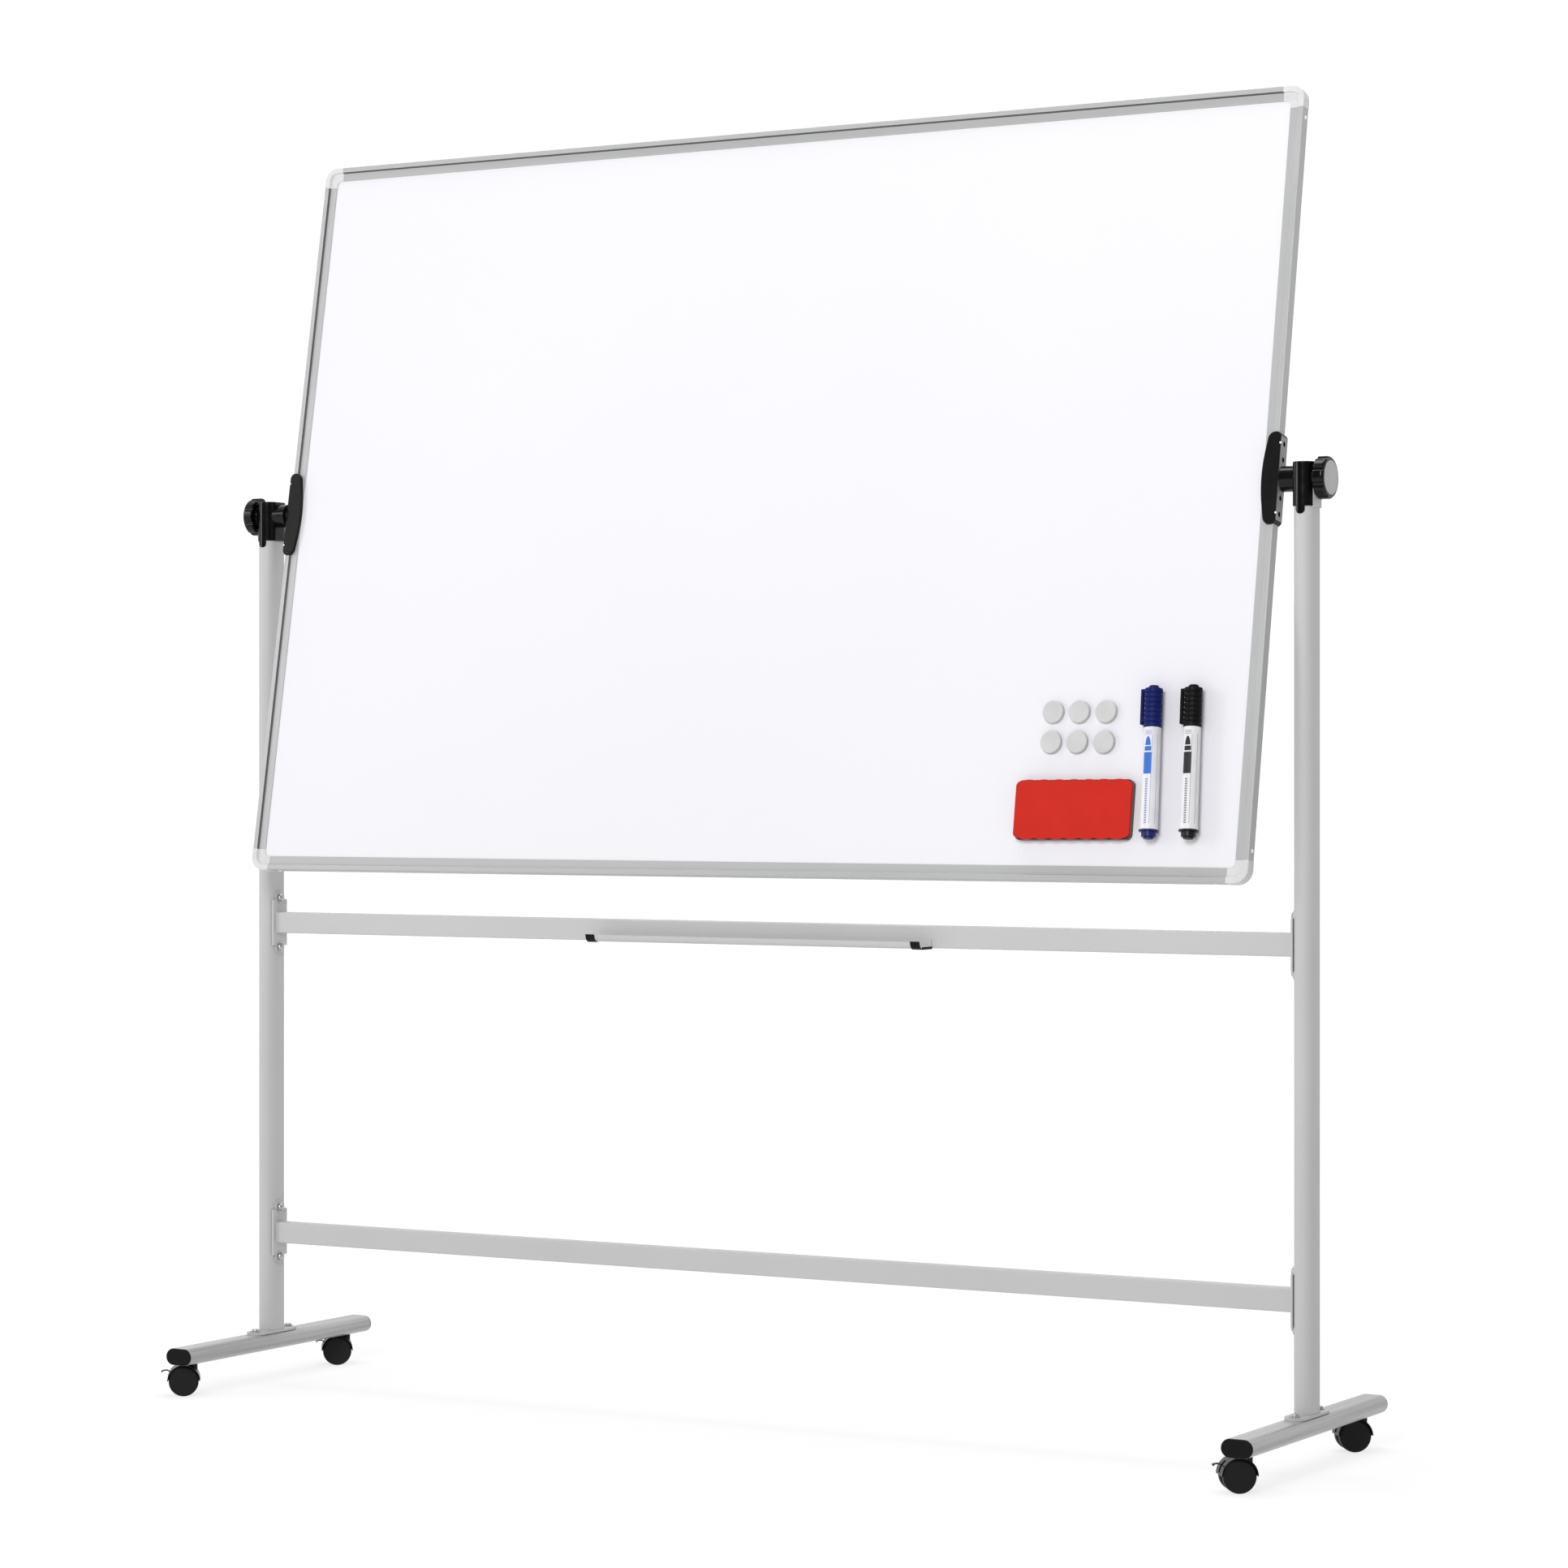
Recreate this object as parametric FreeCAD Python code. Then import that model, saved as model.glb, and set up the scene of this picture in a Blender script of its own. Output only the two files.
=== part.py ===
import FreeCAD, Part
import math
import os
from FreeCAD import Vector

# Rolling whiteboard: a framed, double-sided board that turns over between two posts on a
# wheeled stand.  Millimetres, +Z up.  The origin is on the floor, midway between the posts
# and in the plane of the posts.  +X runs along the board to the reader's right, and the
# front of the board faces -Y.

os.makedirs("parts", exist_ok=True)

# ---- driving dimensions ------------------------------------------------------------------
board_width = 1805.0
board_height = 1212.0
bead_thickness = 20.0        # front to back over the frame's raised outer bead
lip_thickness = 12.0         # front to back over the frame's flat lips
board_tilt = 10.2            # degrees, top edge leaning back
pivot_height = 1462.0

post_x = 947.0               # posts stand at plus and minus this
post_width = 30.0
post_depth = 50.0
post_wall = 1.5

foot_length = 504.0
foot_width = 50.0
foot_height = 27.5
foot_wall = 2.0
foot_bottom = 53.0

upper_bar_z = 774.5
lower_bar_z = 250.5
bar_height = 35.0
bar_depth = 25.0
bar_wall = 1.5

caster_y = 214.0             # caster stems stand at plus and minus this
caster_swivel = -53.0        # degrees, how far the casters are turned at rest
caster_trail = 15.5
wheel_radius = 24.5

running_gap = 0.06           # radial play of a turning fit
body_gap = 0.3               # clear space between pieces that move past each other

# ---- derived levels ----------------------------------------------------------------------
foot_top = foot_bottom + foot_height
base_plate_thickness = 4.0
post_foot = foot_top + base_plate_thickness
half_width = board_width / 2
half_height = board_height / 2
half_bead = bead_thickness / 2
half_lip = lip_thickness / 2
post_inner = post_x - post_width / 2
post_outer = post_x + post_width / 2

X_AXIS = Vector(1, 0, 0)
Y_AXIS = Vector(0, 1, 0)
Z_AXIS = Vector(0, 0, 1)
ORIGIN = Vector(0, 0, 0)
SIDES = (("left", -1), ("right", 1))


# ---- shape helpers -----------------------------------------------------------------------
def point(plane, level, a, b):
    """A point given by two coordinates in a named plane, and its level along the third axis."""
    return {"xy": Vector(a, b, level), "xz": Vector(a, level, b), "yz": Vector(level, a, b)}[plane]


def outline(corners, plane, level):
    """Closed wire through corners (a, b, radius), each corner rounded to its radius."""
    points = [point(plane, level, a, b) for a, b, _ in corners]
    count = len(points)
    ends = []
    for i, (_, _, radius) in enumerate(corners):
        here = points[i]
        back = (points[i - 1] - here).normalize()
        ahead = (points[(i + 1) % count] - here).normalize()
        if radius <= 0:
            ends.append((here, None, here))
            continue
        half = back.getAngle(ahead) / 2
        reach = radius / math.tan(half)
        bisector = (back + ahead).normalize()
        middle = here + bisector * (radius / math.sin(half) - radius)
        ends.append((here + back * reach, middle, here + ahead * reach))
    edges = []
    for i, (start, middle, end) in enumerate(ends):
        if middle is not None:
            edges.append(Part.Arc(start, middle, end).toShape())
        after = ends[(i + 1) % count][0]
        if end.distanceToPoint(after) > 1e-6:
            edges.append(Part.LineSegment(end, after).toShape())
    return Part.Wire(edges)


def prism(corners, plane, start, end):
    """Solid whose section is the outline, running between two levels."""
    axis = {"xy": Z_AXIS, "xz": Y_AXIS, "yz": X_AXIS}[plane]
    return Part.Face(outline(corners, plane, start)).extrude(axis * (end - start))


def rectangle(a_span, b_span, radius=0.0):
    a0, a1 = a_span
    b0, b1 = b_span
    return [(a0, b0, radius), (a1, b0, radius), (a1, b1, radius), (a0, b1, radius)]


def oval(a_middle, b_middle, a_size, b_size):
    """Flat oval: a rectangle whose short sides are half round."""
    a_span = (a_middle - a_size / 2, a_middle + a_size / 2)
    b_span = (b_middle - b_size / 2, b_middle + b_size / 2)
    return rectangle(a_span, b_span, min(a_size, b_size) / 2)


def box(x_span, y_span, z_span):
    corner = Vector(x_span[0], y_span[0], z_span[0])
    return Part.makeBox(x_span[1] - x_span[0], y_span[1] - y_span[0], z_span[1] - z_span[0], corner)


def rod(radius, start, end):
    return Part.makeCylinder(radius, start.distanceToPoint(end), start, end - start)


def rod_x(radius, x_span, y=0.0, z=0.0):
    return rod(radius, Vector(x_span[0], y, z), Vector(x_span[1], y, z))


def rod_z(radius, x, y, z_span):
    return rod(radius, Vector(x, y, z_span[0]), Vector(x, y, z_span[1]))


def turned(corners):
    """Solid of revolution about the X axis; corners are (x, radius, rounding)."""
    return Part.Face(outline(corners, "xz", 0.0)).revolve(ORIGIN, X_AXIS, 360)


def domed_screw(head_radius, head_height, shank_radius, shank_length):
    """Screw along X with its bearing face at x = 0, head towards +X and shank towards -X."""
    crown = head_height * 0.75
    corners = [(-shank_length, 0, 0), (-shank_length, shank_radius, 0), (0, shank_radius, 0),
               (0, head_radius, 0), (head_height, head_radius, crown), (head_height, 0, 0)]
    return turned(corners)


def moved(shape, offset):
    result = shape.copy()
    result.translate(offset)
    return result


def turned_about(shape, centre, axis, degrees):
    result = shape.copy()
    result.rotate(centre, axis, degrees)
    return result


def mirrored_x(shape):
    return shape.mirror(ORIGIN, X_AXIS)


def on_side(shape, side):
    """A piece drawn for the right-hand side, put on the side asked for."""
    return shape if side > 0 else mirrored_x(shape)


def joined(first, *others):
    return first.fuse(list(others)).removeSplitter()


def save(node, *solids):
    """Writes one node; pieces that stand apart stay separate solids."""
    shape = solids[0] if len(solids) == 1 else Part.makeCompound(list(solids))
    shape.exportStep(f"parts/{node}.step")
    loose = [s for s in shape.Solids if not s.isValid() or s.Volume <= 0]
    box_ = shape.BoundBox
    print(f"{node:28s} solids {len(shape.Solids):2d} bad {len(loose)} volume {shape.Volume / 1000:10.2f} cm3"
          f"  x {box_.XMin:8.1f} {box_.XMax:8.1f}  y {box_.YMin:7.1f} {box_.YMax:7.1f}"
          f"  z {box_.ZMin:7.1f} {box_.ZMax:7.1f}")


# ---- stand: posts and feet ---------------------------------------------------------------
clamp_wall = 2.0
clamp_top = pivot_height + 24.0
clamp_bottom = pivot_height - 41.5
strap_top = pivot_height + 18.0
post_top = clamp_top - 4.0
stud_radius = 6.0
base_bolt_y = 46.0
base_bolt_radius = 4.0
stem_radius = 5.5
crossbar_screw_offset = 41.7  # each end plate's screws, above and below its bar
crossbar_screw_radius = 3.0
end_plate_thickness = 3.0


def build_post():
    outer = prism(oval(post_x, 0, post_width, post_depth), "xy", post_foot, post_top)
    bore = prism(oval(post_x, 0, post_width - 2 * post_wall, post_depth - 2 * post_wall),
                 "xy", post_foot - 1, post_top + 1)
    post = outer.cut(bore)
    through = (post_inner - 1, post_outer + 1)
    post = post.cut(rod_x(stud_radius + running_gap, through, 0, pivot_height))
    inner_wall = (post_inner - 1, post_inner + post_wall + 1)
    for bar_z in (upper_bar_z, lower_bar_z):
        for offset in (-crossbar_screw_offset, crossbar_screw_offset):
            post = post.cut(rod_x(crossbar_screw_radius, inner_wall, 0, bar_z + offset))
    return post


def build_foot():
    middle_z = foot_bottom + foot_height / 2
    half = foot_length / 2
    outer = prism(oval(post_x, middle_z, foot_width, foot_height), "xz", -half, half)
    inner = prism(oval(post_x, middle_z, foot_width - 2 * foot_wall, foot_height - 2 * foot_wall),
                  "xz", -half - 1, half + 1)
    foot = outer.cut(inner)
    for y in (-base_bolt_y, base_bolt_y):
        foot = foot.cut(rod_z(base_bolt_radius, post_x, y, (foot_top - foot_wall - 1, foot_top + 1)))
    for y in (-caster_y, caster_y):
        foot = foot.cut(rod_z(stem_radius, post_x, y, (foot_bottom - 1, foot_bottom + foot_wall + 1)))
    return foot


def build_foot_end_cap(end):
    """Plug with a flange that covers the foot tube's cut end; end is -1 for front, 1 for back."""
    middle_z = foot_bottom + foot_height / 2
    flange = 3.0
    depth = 18.0
    clear = 2 * foot_wall + 0.2
    tube_end = foot_length / 2
    face = prism(oval(post_x, middle_z, foot_width - 0.6, foot_height - 0.6), "xz",
                 tube_end, tube_end + flange)
    rim = [e for e in face.Edges if abs(e.BoundBox.YMin - tube_end - flange) < 1e-3
           and abs(e.BoundBox.YMax - tube_end - flange) < 1e-3]
    face = face.makeFillet(1.8, rim)
    plug = prism(oval(post_x, middle_z, foot_width - clear, foot_height - clear), "xz",
                 tube_end - depth, tube_end)
    cap = joined(face, plug)
    return cap if end > 0 else cap.mirror(ORIGIN, Y_AXIS)


base_plate_width = 34.0
base_plate_length = 116.0
washer_thickness = 1.2


def build_base_plate():
    plate = prism(oval(post_x, 0, base_plate_width, base_plate_length), "xy", foot_top, post_foot)
    for y in (-base_bolt_y, base_bolt_y):
        plate = plate.cut(rod_z(base_bolt_radius, post_x, y, (foot_top - 1, post_foot + 1)))
    return plate


def build_base_bolt(y):
    shank = base_plate_thickness + washer_thickness + foot_wall + 8
    bolt = domed_screw(6.5, 4.0, base_bolt_radius - 0.02, shank)
    washer = rod_x(8.5, (-washer_thickness, 0)).cut(rod_x(base_bolt_radius - 0.03, (-2, 1)))
    bolt = joined(bolt, washer)
    bolt = turned_about(bolt, ORIGIN, Y_AXIS, -90)
    return moved(bolt, Vector(post_x, y, post_foot + washer_thickness))


# ---- stand: crossbars --------------------------------------------------------------------
bar_end = post_inner - end_plate_thickness


def build_crossbar(bar_z):
    y_span = (-bar_depth / 2, bar_depth / 2)
    z_span = (bar_z - bar_height / 2, bar_z + bar_height / 2)
    outer = prism(rectangle(y_span, z_span, 2.5), "yz", -bar_end, bar_end)
    y_in = (y_span[0] + bar_wall, y_span[1] - bar_wall)
    z_in = (z_span[0] + bar_wall, z_span[1] - bar_wall)
    return outer.cut(prism(rectangle(y_in, z_in, 1.0), "yz", -bar_end - 1, bar_end + 1))


def build_end_plate(bar_z):
    """Flat plate between post and bar, with a round ear above and below for its screws."""
    plate_width = 38.0
    plate_height = 78.0
    ear_radius = 12.0
    x_span = (bar_end, post_inner)
    y_span = (-plate_width / 2, plate_width / 2)
    z_span = (bar_z - plate_height / 2, bar_z + plate_height / 2)
    plate = prism(rectangle(y_span, z_span, 1.5), "yz", *x_span)
    ears = [rod_x(ear_radius, x_span, 0, bar_z + s * crossbar_screw_offset) for s in (-1, 1)]
    plate = joined(plate, *ears)
    for s in (-1, 1):
        hole = rod_x(crossbar_screw_radius, (bar_end - 1, post_inner + 1), 0,
                     bar_z + s * crossbar_screw_offset)
        plate = plate.cut(hole)
    return plate


def build_crossbar_screw(z):
    """Pan-head screw with a washer, its head towards the middle of the stand."""
    screw = domed_screw(7.0, 6.0, crossbar_screw_radius - 0.02, end_plate_thickness + post_wall + 5)
    washer = rod_x(9.5, (0, washer_thickness)).cut(rod_x(4.0, (-1, 3)))
    screw = joined(screw, washer)
    screw = turned_about(screw, ORIGIN, Z_AXIS, 180)
    return moved(screw, Vector(bar_end, 0, z))


# ---- stand: pen tray ---------------------------------------------------------------------
tray_left = -279.0
tray_right = 327.0
tray_sheet = 1.5
tray_floor_z = upper_bar_z - bar_height / 2       # underside of the tray floor
tray_back = -bar_depth / 2
tray_back_height = 14.0
tray_bend_y = -44.0
tray_bend_radius = 9.0
lip_lean = math.radians(15)
lip_length = 4.0


def tray_section(grow, cover=False):
    """Closed section of the tray, or of an end cap that covers its lip and its floor's underside.

    The floor runs forward from the crossbar, then bends up into a lip that leans outward.
    """
    outer = tray_bend_radius + grow
    inner = tray_bend_radius - tray_sheet - grow
    if cover:
        inner = tray_bend_radius + 0.1
    centre = Vector(0, tray_bend_y, tray_floor_z + tray_bend_radius)
    lip_dir = Vector(0, -math.sin(lip_lean), math.cos(lip_lean))
    end_normal = Vector(0, -math.cos(lip_lean), -math.sin(lip_lean))
    mid_angle = math.radians(225) + lip_lean / 2
    mid_normal = Vector(0, math.cos(mid_angle), math.sin(mid_angle))
    down = Vector(0, 0, -1)
    top_outer = centre + end_normal * outer + lip_dir * (lip_length + grow)
    top_inner = centre + end_normal * inner + lip_dir * (lip_length + grow)
    back_y = tray_back - (0 if not cover else 0.2)
    floor_out = Vector(0, back_y, (centre + down * outer).z)
    floor_in = Vector(0, back_y - (0 if cover else tray_sheet), (centre + down * inner).z)
    edges = [
        Part.LineSegment(floor_out, centre + down * outer).toShape(),
        Part.Arc(centre + down * outer, centre + mid_normal * outer, centre + end_normal * outer).toShape(),
        Part.LineSegment(centre + end_normal * outer, top_outer).toShape(),
        Part.LineSegment(top_outer, top_inner).toShape(),
        Part.LineSegment(top_inner, centre + end_normal * inner).toShape(),
        Part.Arc(centre + end_normal * inner, centre + mid_normal * inner, centre + down * inner).toShape(),
        Part.LineSegment(centre + down * inner, floor_in).toShape(),
    ]
    if cover:
        edges.append(Part.LineSegment(floor_in, floor_out).toShape())
    else:
        flange_in = Vector(0, floor_in.y, tray_floor_z + tray_back_height)
        flange_out = Vector(0, floor_out.y, tray_floor_z + tray_back_height)
        edges.append(Part.LineSegment(floor_in, flange_in).toShape())
        edges.append(Part.LineSegment(flange_in, flange_out).toShape())
        edges.append(Part.LineSegment(flange_out, floor_out).toShape())
    return Part.Face(Part.Wire(edges))


def build_tray():
    tray = tray_section(0.0).extrude(X_AXIS * (tray_right - tray_left))
    return moved(tray, Vector(tray_left, 0, 0))


def build_tray_end_cap(side):
    """Black cap over the last stretch of the lip, with a wall across the end of the floor."""
    cap_length = 15.0
    floor_strip = 3.0
    wall = 1.3
    shell = tray_section(wall, cover=True).extrude(X_AXIS * (cap_length + wall))
    shell = moved(shell, Vector(tray_right - cap_length, 0, 0))
    spare = box((tray_right - cap_length - 1, tray_right - floor_strip),
                (tray_bend_y, 0), (tray_floor_z - 5, tray_floor_z + 5))
    end_wall = box((tray_right + 0.05, tray_right + wall), (tray_bend_y, tray_back - 0.2),
                   (tray_floor_z - wall, tray_floor_z + tray_sheet + wall))
    shell = joined(shell.cut(spare), end_wall)
    if side < 0:
        middle = (tray_left + tray_right) / 2
        shell = shell.mirror(Vector(middle, 0, 0), X_AXIS)
    return shell


# ---- stand: post-top clamp ---------------------------------------------------------------
boss_radius = 19.3
collar_end = half_width + 6.7          # outer end of the bracket's collar, on the board
boss_start = collar_end + body_gap
strap_wall = 2.6
strap_half_y = 15.5
strap_outer = post_outer + strap_wall


def build_clamp():
    """Moulded cap over the post's top, with a boss towards the board and a rounded front tongue."""
    outer_depth = post_depth + 2 * clamp_wall
    outer_width = post_width + 2 * clamp_wall
    clear = 0.3
    body = prism(oval(post_x, 0, outer_width, outer_depth), "xy", clamp_bottom, clamp_top)
    rim = [e for e in body.Edges if abs(e.BoundBox.ZMin - clamp_top) < 1e-3
           and abs(e.BoundBox.ZMax - clamp_top) < 1e-3]
    body = body.makeFillet(1.5, rim)
    cavity = prism(oval(post_x, 0, post_width + clear, post_depth + clear), "xy",
                   clamp_bottom - 1, post_top + 0.1)
    tongue_half = 7.0
    tongue_bottom = clamp_bottom - 11.5
    tongue = prism([(post_x - tongue_half, tongue_bottom, tongue_half - 0.5),
                    (post_x + tongue_half, tongue_bottom, tongue_half - 0.5),
                    (post_x + tongue_half, clamp_bottom + 2, 0),
                    (post_x - tongue_half, clamp_bottom + 2, 0)], "xz",
                   -outer_depth / 2, -post_depth / 2 - clear / 2)
    tongue = tongue.common(prism(oval(post_x, 0, outer_width, outer_depth), "xy",
                                 tongue_bottom - 1, clamp_bottom + 3))
    boss = rod_x(boss_radius, (boss_start, post_x), 0, pivot_height)
    body = joined(body, boss).cut(cavity)
    body = joined(body, tongue.cut(cavity))
    side_window = box((post_x + 5, post_outer + 10), (-strap_half_y - 0.2, strap_half_y + 0.2),
                      (clamp_bottom - 3, strap_top + 0.2))
    body = body.cut(side_window)
    body = body.cut(rod_x(stud_radius + running_gap, (boss_start - 1, post_x), 0, pivot_height))
    recess = turned([(boss_start - 1, boss_radius - 6, 0), (boss_start + 2.5, boss_radius - 6, 0),
                     (boss_start + 2.5, boss_radius - 2.5, 0), (boss_start - 1, boss_radius - 2.5, 0)])
    body = body.cut(moved(recess, Vector(0, 0, pivot_height)))
    groove_depth = 0.9
    for x in (-12.0, 0.0, 12.0):
        reach = abs(x)
        surface_y = -(outer_depth - outer_width) / 2 - math.sqrt((outer_width / 2) ** 2 - reach ** 2)
        groove = box((post_x + x - 0.45, post_x + x + 0.45), (surface_y - 3, surface_y + groove_depth),
                     (tongue_bottom - 1 if x == 0 else clamp_bottom - 1, clamp_top - 3))
        body = body.cut(groove)
    return body


def build_strap():
    """Grey strap bent round the post's outer side, between the post and the knob."""
    levels = (clamp_bottom - 2, strap_top)
    outer = prism(oval(post_x, 0, post_width + 2 * strap_wall, post_depth + 2 * strap_wall), "xy", *levels)
    inner = prism(oval(post_x, 0, post_width + 0.1, post_depth + 0.1), "xy", levels[0] - 1, levels[1] + 1)
    reach = box((post_x + 6, strap_outer + 1), (-strap_half_y, strap_half_y), levels)
    strap = outer.cut(inner).common(reach)
    return strap.cut(rod_x(stud_radius + running_gap, (post_outer - 1, strap_outer + 1), 0, pivot_height))


# ---- clamping knobs ----------------------------------------------------------------------
knob_radius = 31.8
knob_hub_radius = 20.0
knob_hub_start = strap_outer + body_gap
knob_start = post_x + 20.5
knob_end = post_x + 38.0
knob_lobes = 8
knob_cap_radius = 25.3
stud_end = post_x + 33.0


def build_knob():
    """Lobed cup-backed hand knob, turned about the pivot axis."""
    body = turned([(knob_start, 0, 0), (knob_start, knob_radius, 1.5),
                   (knob_end, knob_radius, 4.5), (knob_end, 0, 0)])
    hub = turned([(knob_hub_start, 0, 0), (knob_hub_start, knob_hub_radius, 1.0),
                  (knob_start + 1, knob_hub_radius, 0), (knob_start + 1, 0, 0)])
    body = joined(body, hub)
    hollow = turned([(knob_start - 1, knob_hub_radius, 0), (knob_start - 1, knob_radius - 5.6, 0),
                     (knob_start + 10, knob_radius - 5.6, 1.0), (knob_start + 10, knob_hub_radius, 1.0)])
    body = body.cut(hollow)
    groove_radius = 5.5
    groove_centre = knob_radius + 2.4
    for i in range(knob_lobes):
        angle = math.radians(360.0 * (i + 0.5) / knob_lobes)
        y = groove_centre * math.cos(angle)
        z = groove_centre * math.sin(angle)
        body = body.cut(rod_x(groove_radius, (knob_start - 1, knob_end + 1), y, z))
    body = body.cut(rod_x(stud_radius + running_gap, (knob_hub_start - 1, stud_end + 1)))
    body = body.cut(rod_x(knob_cap_radius + 0.15, (knob_end - 1.6, knob_end + 1)))
    return moved(body, Vector(0, 0, pivot_height))


def build_knob_cap():
    cap = turned([(knob_end - 1.6, 0, 0), (knob_end - 1.6, knob_cap_radius, 0),
                  (knob_end + 1.0, knob_cap_radius, 0.8), (knob_end + 1.0, 0, 0)])
    return moved(cap, Vector(0, 0, pivot_height))


# ---- casters -----------------------------------------------------------------------------
# Drawn with the stem on the Z axis and the wheels trailing towards -Y, axle along X.
axle_y = -caster_trail
axle_radius = 3.0
web_half = 5.0
wheel_inner_x = web_half + 0.6
wheel_outer_x = 18.9
fender_half = 19.5
fender_radius = 27.0
fender_inner = wheel_radius + 0.8
spigot_radius = 3.6
neck_radius = 7.0
neck_top = foot_bottom - 1.3
spigot_bottom = 31.0
lever_pin_radius = 1.5
lever_pin_y = axle_y - 14.0
lever_pin_z = wheel_radius + 12.0
lever_pocket_half = 3.0
lever_slot_half = 4.0
lever_room = 17.0            # the fender's slot is open down to this distance from the axle


def build_caster_stem():
    """Pin pressed into the foot, with a collar under it and a spigot that the yoke turns on."""
    collar_radius = 7.0
    collar = rod_z(collar_radius, 0, 0, (foot_bottom - 1.0, foot_bottom))
    shank = rod_z(stem_radius - 0.02, 0, 0, (foot_bottom, foot_bottom + 19))
    spigot = rod_z(spigot_radius, 0, 0, (spigot_bottom, foot_bottom - 1.0))
    return joined(collar, shank, spigot)


def build_caster_yoke():
    disc_z = wheel_radius
    full = (-fender_half, fender_half)
    fender = rod_x(fender_radius, full, axle_y, disc_z + 0.4)
    upper = box((-30, 30), (-80, 80), (disc_z + 0.8, 80))
    fender = fender.common(upper)
    web = joined(rod_x(fender_inner + 0.6, (-web_half, web_half), axle_y, disc_z).common(upper),
                 rod_x(12.0, (-web_half, web_half), axle_y, disc_z))
    neck = rod_z(neck_radius, 0, 0, (disc_z + 8, neck_top))
    shell = joined(fender, neck).cut(rod_x(fender_inner, (-30, 30), axle_y, disc_z))
    yoke = joined(shell, web)
    slot = box((-lever_slot_half, lever_slot_half), (axle_y - 32, axle_y - 14), (disc_z + 4, disc_z + 21))
    slot = slot.cut(rod_x(lever_room, full, axle_y, disc_z))
    pocket = box((-lever_pocket_half, lever_pocket_half), (axle_y - 30, lever_pin_y + 5.0),
                 (disc_z + 4, disc_z + 21))
    yoke = yoke.cut(pocket).cut(slot)
    pin = rod_x(lever_pin_radius, (-web_half + 0.5, web_half - 0.5), lever_pin_y, lever_pin_z)
    yoke = joined(yoke, pin)
    yoke = yoke.cut(rod_z(spigot_radius + running_gap, 0, 0, (spigot_bottom - 0.5, neck_top + 1)))
    return yoke.cut(rod_x(axle_radius, (-web_half - 1, web_half + 1), axle_y, disc_z))


def build_axle():
    return rod_x(axle_radius, (-wheel_outer_x + 1.6, wheel_outer_x - 1.6), axle_y, wheel_radius)


def build_wheel(side):
    bore = axle_radius + running_gap
    bore_end = wheel_outer_x - 1.3
    shoulder = wheel_outer_x - 0.7
    face_radius = wheel_radius - 2.1
    wheel = turned([(wheel_inner_x, bore, 0), (wheel_inner_x, wheel_radius, 2.2),
                    (shoulder, wheel_radius, 2.0), (shoulder, face_radius, 0),
                    (wheel_outer_x, face_radius - 0.5, 0.3), (wheel_outer_x, 0, 0),
                    (bore_end, 0, 0), (bore_end, bore, 0)])
    wheel = moved(wheel, Vector(0, axle_y, wheel_radius))
    return on_side(wheel, side)


def build_brake_lever():
    """Foot lever: a cam on the cross pin, and a thin curved tab that comes out of the fender's slot."""
    cam_radius = 3.4
    tab_half = 3.4
    tab = 1.6
    cam_half = lever_pocket_half - body_gap
    cam = rod_x(cam_radius, (-cam_half, cam_half), lever_pin_y, lever_pin_z)
    root = lever_pin_y - 8.5
    arm = prism([(lever_pin_y, lever_pin_z - 2.0, 0), (lever_pin_y, lever_pin_z + 2.0, 0),
                 (root, lever_pin_z + 2.2, 0.5), (root, lever_pin_z - 1.2, 0.5)], "yz", -cam_half, cam_half)
    start = Vector(0, root + 1.5, lever_pin_z - 0.4)
    rise = Vector(0, root - 1.6, lever_pin_z + 2.8)
    crest = Vector(0, root - 6.0, lever_pin_z + 4.6)
    tip = Vector(0, root - 13.3, lever_pin_z + 3.5)
    lift = Vector(0, 0, tab)
    edges = [
        Part.Arc(start, rise, crest).toShape(),
        Part.LineSegment(crest, tip).toShape(),
        Part.LineSegment(tip, tip + lift).toShape(),
        Part.LineSegment(tip + lift, crest + lift).toShape(),
        Part.Arc(crest + lift, rise + lift, start + lift).toShape(),
        Part.LineSegment(start + lift, start).toShape(),
    ]
    blade = Part.Face(Part.Wire(edges)).extrude(X_AXIS * (2 * tab_half))
    blade = moved(blade, Vector(-tab_half, 0, 0))
    toe = prism([(tip.y - 0.8, tip.z - 1.6, 0.7), (tip.y + 1.4, tip.z - 1.6, 0.7),
                 (tip.y + 1.4, tip.z + tab, 0), (tip.y - 0.8, tip.z + tab, 0.6)],
                "yz", -tab_half, tab_half)
    lever = joined(cam, arm, blade, toe)
    return lever.cut(rod_x(lever_pin_radius + running_gap, (-10, 10), lever_pin_y, lever_pin_z))


def place_caster(shape, side, end):
    turned_shape = turned_about(shape, ORIGIN, Z_AXIS, caster_swivel)
    return moved(turned_shape, Vector(side * post_x, end * caster_y, 0))


# ---- board -------------------------------------------------------------------------------
# The board is drawn upright around the pivot: X along it, Z up it, its middle plane on the
# pivot axis, front towards -Y.  Tilting it back puts it in its rest place.
rail_width = 23.0             # from the outer edge to the lip's inner edge
bead_width = 8.5
bead_foot = 10.0              # where the bead's inner side meets the lip
bead_radius = 1.8
lip_wall = 1.5
web_end = 10.5                # the slot for the panel starts here
hollow_start = 1.6
hollow_end = 7.4
hollow_half = half_bead - 1.6
cap_leg = 34.5                # how far each corner cap reaches along its rails
cap_corner_radius = 22.0
cap_proud = 0.35
sheet_thickness = 0.4
panel_inset = web_end + 0.1
pocket_half = half_lip - lip_wall
side_screw_inset = 49.0       # the corner screws, from the board's corners
end_screw_inset = 53.5


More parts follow.
